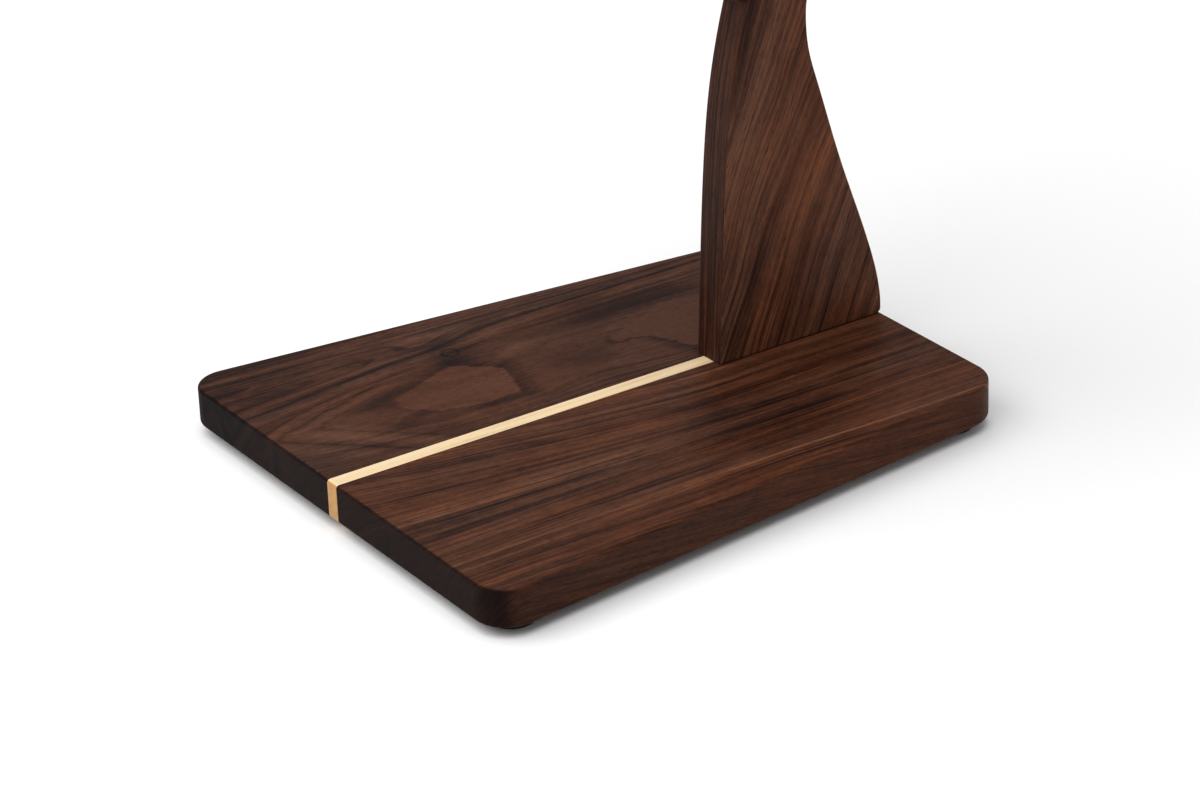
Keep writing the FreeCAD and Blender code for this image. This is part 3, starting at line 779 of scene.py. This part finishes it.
def pale_wood(name, ramp, figure, way, end_tint, origin=(0.0, 0.0, 0.0), lean=0.0):
    """A pale, even timber. way gives which of X, Y and Z is across, along and through."""
    graph = Graph(name)
    point, facing = graph.place(origin, lean)
    grain = [point[index] for index in way]
    wide, long = figure
    tone = graph.waver(grain, sizes=(wide, long, wide), reach=2.0, detail=3.0, roughness=0.6)
    fleck = graph.spread(grain, PALE_FLECK, detail=2.0, roughness=0.6)
    colour = graph.ramp(0.5 + tone + (fleck - 0.5) * PALE_FLECK_WEIGHT, ramp)
    end = end_share(graph, facing[way[1]])
    colour = graph.mix(end, colour, graph.tinted(colour, end_tint))
    roughness = PALE_ROUGHNESS + (fleck - 0.5) * 0.2
    return graph.finish(colour, roughness, fleck, PALE_RELIEF, specular=0.35)


# ------------------------------------------------------------ other materials

def rubber():
    """Moulded black rubber with a fine mould texture."""
    graph = Graph("rubber_moulded")
    point, _ = graph.place()
    speck = graph.spread(point, 0.35)
    dust = graph.spread(point, 6.0, detail=3.0)
    colour = graph.ramp(dust, ((0.3, (0.006, 0.006, 0.007)), (0.8, (0.016, 0.015, 0.015))))
    return graph.finish(colour, 0.55 + (speck - 0.5) * 0.3, speck, depth=0.05, specular=0.25)


def steel():
    """Zinc-plated steel, slightly clouded."""
    graph = Graph("steel_zinc")
    point, _ = graph.place()
    cloud = graph.spread(point, 3.0, detail=3.0)
    scratch = graph.spread(point, (0.2, 0.2, 2.0))
    colour = graph.ramp(cloud, ((0.3, (0.26, 0.265, 0.28)), (0.7, (0.42, 0.42, 0.41))))
    graph.shader.inputs["Metallic"].default_value = 1.0
    return graph.finish(colour, 0.36 + (scratch - 0.5) * 0.3, scratch, depth=0.01)


PEBBLE_SIZE = 0.9
PEBBLE_GAP = 0.16       # the share of a pebble's size over which its edge falls
PEBBLE_SHADOW = (0.5, 0.5, 0.5)


def leather():
    """Thin brown leather with a pebbled grain and rubbed high spots."""
    graph = Graph("leather_brown")
    point, _ = graph.place(REST_ORIGIN, REST_LEAN)
    x, y, z = point
    wobble = graph.waver(point, 2.0, reach=1.2, detail=2.0)
    cells = graph.cells(x / PEBBLE_SIZE + wobble, y / PEBBLE_SIZE + wobble, z / PEBBLE_SIZE)
    pebble = graph.step(cells, 0.0, PEBBLE_GAP)
    cloud = graph.spread(point, 18.0, detail=3.0)
    colour = graph.ramp(cloud, ((0.25, (0.052, 0.022, 0.011)), (0.75, (0.105, 0.046, 0.021))))
    colour = graph.mix(pebble, graph.tinted(colour, PEBBLE_SHADOW), colour)
    return graph.finish(colour, 0.62 - pebble * 0.14, pebble, depth=0.08, specular=0.15)


def thread():
    """Waxed tan thread, twisted from two strands."""
    graph = Graph("thread_waxed")
    (x, y, z), _ = graph.place(REST_ORIGIN, REST_LEAN)
    twist = graph.spread((x + y, x - y, z), (0.25, 0.6, 0.25))
    colour = graph.ramp(twist, ((0.3, (0.20, 0.115, 0.055)), (0.7, (0.42, 0.27, 0.15))))
    return graph.finish(colour, 0.55 + (twist - 0.5) * 0.3, twist, depth=0.03, specular=0.2)


# ------------------------------------------------------------ dress the nodes

def dress(nodes, material):
    for node in nodes:
        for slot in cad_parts[node].material_slots:
            slot.material = material


def dress_base_and_post():
    dress(["base_board_left"],
          walnut("walnut_base_left", left_board, 2.0, tone=-0.05, tint=(0.92, 1.03, 1.20)))
    dress(["base_board_right"], walnut("walnut_base_right", right_board, 9.0))
    dress(["post"], walnut("walnut_post", post_board, 17.0, tone=0.16, tint=(1.0, 1.03, 1.14)))


def dress_rest():
    boards = (
        (["panel_board_left"], "walnut_panel_left", rest_board, 23.0),
        (["panel_board_right"], "walnut_panel_right", rest_board, 31.0),
        (["ledge", "lower_batten"], "walnut_ledge", cross_board, 37.0),
        (["ledge_lip", "upper_batten"], "walnut_lip", cross_board, 41.0),
        (["ledge_bracket"], "walnut_bracket", bracket_board, 47.0),
    )
    for nodes, name, figure, seed in boards:
        dress(nodes, walnut(name, figure, seed, REST_ORIGIN, REST_LEAN))


def dress_pale_woods():
    upright = (0, 2, 1)
    dress(["base_strip"], pale_wood("maple_base", MAPLE_RAMP, MAPLE_FIGURE, (0, 1, 2), MAPLE_END))
    dress(["panel_strip"], pale_wood("maple_panel", MAPLE_RAMP, MAPLE_FIGURE, upright, MAPLE_END,
                                     REST_ORIGIN, REST_LEAN))
    dress(["post_dowels", "bracket_dowels", "lip_dowels"],
          pale_wood("beech_dowel", BEECH_RAMP, BEECH_FIGURE, upright, BEECH_END))


def dress_fittings():
    dress(["foot_front_left", "foot_front_right", "foot_back_left", "foot_back_right"], rubber())
    dress(["post_screws", "foot_screws", "foot_washers", "panel_screws", "batten_screws",
           "ledge_screws", "bracket_screws"], steel())


# ------------------------------------------------------------ leather insert

# The insert's rim, from its lower edge inwards: how far in, and how far above its face.
# The dip is the groove that the stitches lie in.
INSERT_RIM = (
    (0.10, -1.15),
    (0.10, -0.60),
    (0.20, -0.28),
    (0.45, -0.08),
    (0.85, 0.0),
    (1.7, 0.0),
    (2.1, -0.12),
    (2.5, -0.20),
    (2.9, -0.12),
    (3.3, 0.0),
    (6.0, 0.06),
)
INSERT_CORNER = 3.0
LEAST_CORNER = 0.5
CORNER_STEPS = 8
STITCH_INSET = 2.5
STITCH_PITCH = 3.4
STITCH_SIZE = (1.25, 0.30, 0.24)    # half length, half width and half height
STITCH_HEIGHT = -0.06
STITCH_RINGS = 7
STITCH_SIDES = 10


def to_rest(point):
    """From the part's frame in metres to the frame of the rest in millimetres."""
    return Matrix.Rotation(REST_LEAN, 3, "X") @ (point / MM - Vector(REST_ORIGIN))


def from_rest(point):
    return (Matrix.Rotation(-REST_LEAN, 3, "X") @ point + Vector(REST_ORIGIN)) * MM


def above(height):
    return Vector((0.0, 0.0, height))


def rest_box(node):
    """Lowest and highest corners of a node in the frame of the rest."""
    points = [to_rest(vertex.co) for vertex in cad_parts[node].data.vertices]
    return [Vector([extreme(point[axis] for point in points) for axis in range(3)])
            for extreme in (min, max)]


def rounded_outline(low, high, inset):
    """Points round a rectangle with rounded corners, at the height of its upper corner."""
    radius = max(INSERT_CORNER - inset, LEAST_CORNER)
    points = []
    for corner, (side_x, side_y) in enumerate(((1, 1), (-1, 1), (-1, -1), (1, -1))):
        centre_x = (high.x if side_x > 0 else low.x) - side_x * (inset + radius)
        centre_y = (high.y if side_y > 0 else low.y) - side_y * (inset + radius)
        for step in range(CORNER_STEPS + 1):
            angle = math.pi / 2 * (corner + step / CORNER_STEPS)
            points.append(Vector((centre_x + radius * math.cos(angle),
                                  centre_y + radius * math.sin(angle), high.z)))
    return points


def add_piece(name, points, faces, material):
    """A smooth mesh from points in the frame of the rest and the faces between them."""
    mesh = bpy.data.meshes.new(name)
    mesh.from_pydata([from_rest(point) for point in points], [], faces)
    mesh.shade_smooth()
    mesh.materials.append(material)
    piece = bpy.data.objects.new(name, mesh)
    bpy.context.scene.collection.objects.link(piece)
    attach(piece, "root")
    return piece


def skin(rings, count):
    """Faces between rings of points, each ring count long, and the two flat ends."""
    faces = []
    for ring in range(rings - 1):
        for index in range(count):
            after = (index + 1) % count
            low, high = ring * count, (ring + 1) * count
            faces.append((low + index, low + after, high + after, high + index))
    faces.append(tuple(reversed(range(count))))
    faces.append(tuple(range((rings - 1) * count, rings * count)))
    return faces


def leather_insert(low, high):
    """The leather itself: a rolled rim with a groove inside it, and a flat face."""
    points = []
    for inset, height in INSERT_RIM:
        points += [point + above(height) for point in rounded_outline(low, high, inset)]
    faces = skin(len(INSERT_RIM), len(points) // len(INSERT_RIM))
    return add_piece("leather_insert", points, faces, leather())


def stitch_places(low, high):
    """Where each stitch lies, evenly spaced along the groove, and which way it points."""
    outline = rounded_outline(low, high, STITCH_INSET)
    sides = list(zip(outline, outline[1:] + outline[:1]))
    length = sum((after - before).length for before, after in sides)
    pitch = length / round(length / STITCH_PITCH)
    places = []
    gone = 0.0
    for before, after in sides:
        way = (after - before).normalized()
        while len(places) * pitch < gone + (after - before).length:
            places.append((before + way * (len(places) * pitch - gone), way))
        gone += (after - before).length
    return places


def stitch_points(middle, way):
    """Rings of points round one stitch, from one end to the other."""
    half_length, half_width, half_height = STITCH_SIZE
    across = Vector((-way.y, way.x, 0.0))
    points = []
    for ring in range(STITCH_RINGS):
        slope = math.pi * (ring + 0.5) / STITCH_RINGS
        centre = middle - way * half_length * math.cos(slope) + above(STITCH_HEIGHT)
        for turn in range(STITCH_SIDES):
            angle = 2 * math.pi * turn / STITCH_SIDES
            points.append(centre + across * half_width * math.sin(slope) * math.cos(angle)
                          + above(half_height * math.sin(slope) * math.sin(angle)))
    return points


def leather_stitching(low, high):
    """One small rounded stitch after another, all round the groove."""
    points = []
    faces = []
    for middle, way in stitch_places(low, high):
        first = len(points)
        points += stitch_points(middle, way)
        faces += [tuple(first + index for index in face) for face in skin(STITCH_RINGS, STITCH_SIDES)]
    return add_piece("leather_stitching", points, faces, thread())


def make_leather():
    low, high = rest_box("ledge_pad")
    insert = leather_insert(low, high)
    stitching = leather_stitching(low, high)
    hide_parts("ledge_pad")


# ------------------------------------------------------------ studio

FLOOR_SIZE = 12.0
FLOOR_COLOUR = (0.95, 0.95, 0.95)
FLOOR_DARKEST = 0.985               # the share of its colour left in its darkest spots
WORLD_LIGHT = 0.45
KEY_SIZE = 6.8
KEY_PLACE = Vector((-0.25, -1.80, 4.30))
KEY_POWER = 303.0
CAMERA_PLACE = Vector((1.458, -0.9595, 0.8728))
CAMERA_TURN = (63.933, 2.002, 55.838)
CAMERA_LENS = 127.87


def make_floor():
    graph = Graph("floor_pale")
    (x, y, _), _ = graph.place()
    paper = graph.spread((x, y, 0.0), 3.0, detail=3.0)
    darkest = tuple(FLOOR_DARKEST * part for part in FLOOR_COLOUR)
    colour = graph.ramp(paper, ((0.0, darkest), (1.0, FLOOR_COLOUR)))
    material = graph.finish(colour, 0.9, specular=0.1)
    half = FLOOR_SIZE / 2
    mesh = bpy.data.meshes.new("floor")
    corners = [(-half, -half, 0), (half, -half, 0), (half, half, 0), (-half, half, 0)]
    mesh.from_pydata(corners, [], [(0, 1, 2, 3)])
    mesh.materials.append(material)
    floor = bpy.data.objects.new("floor", mesh)
    bpy.context.scene.collection.objects.link(floor)


def make_world():
    world = bpy.data.worlds.new("studio")
    world.use_nodes = True
    background = world.node_tree.nodes["Background"]
    background.inputs["Color"].default_value = (1.0, 1.0, 1.0, 1.0)
    background.inputs["Strength"].default_value = WORLD_LIGHT
    bpy.context.scene.world = world


def make_key_light():
    """A broad, soft light above and in front, which looks at the origin."""
    light = bpy.data.lights.new("key", "AREA")
    light.shape = "SQUARE"
    light.size = KEY_SIZE
    light.energy = KEY_POWER
    key = bpy.data.objects.new("key", light)
    key.location = KEY_PLACE
    key.rotation_euler = (-KEY_PLACE).to_track_quat("-Z", "Y").to_euler()
    bpy.context.scene.collection.objects.link(key)


def make_camera():
    data = bpy.data.cameras.new("camera")
    data.lens = CAMERA_LENS
    camera = bpy.data.objects.new("camera", data)
    camera.location = CAMERA_PLACE
    camera.rotation_euler = [math.radians(angle) for angle in CAMERA_TURN]
    bpy.context.scene.collection.objects.link(camera)
    bpy.context.scene.camera = camera


dress_base_and_post()
dress_rest()
dress_pale_woods()
dress_fittings()
make_leather()
make_floor()
make_world()
make_key_light()
make_camera()
bpy.context.scene.view_settings.view_transform = "Standard"
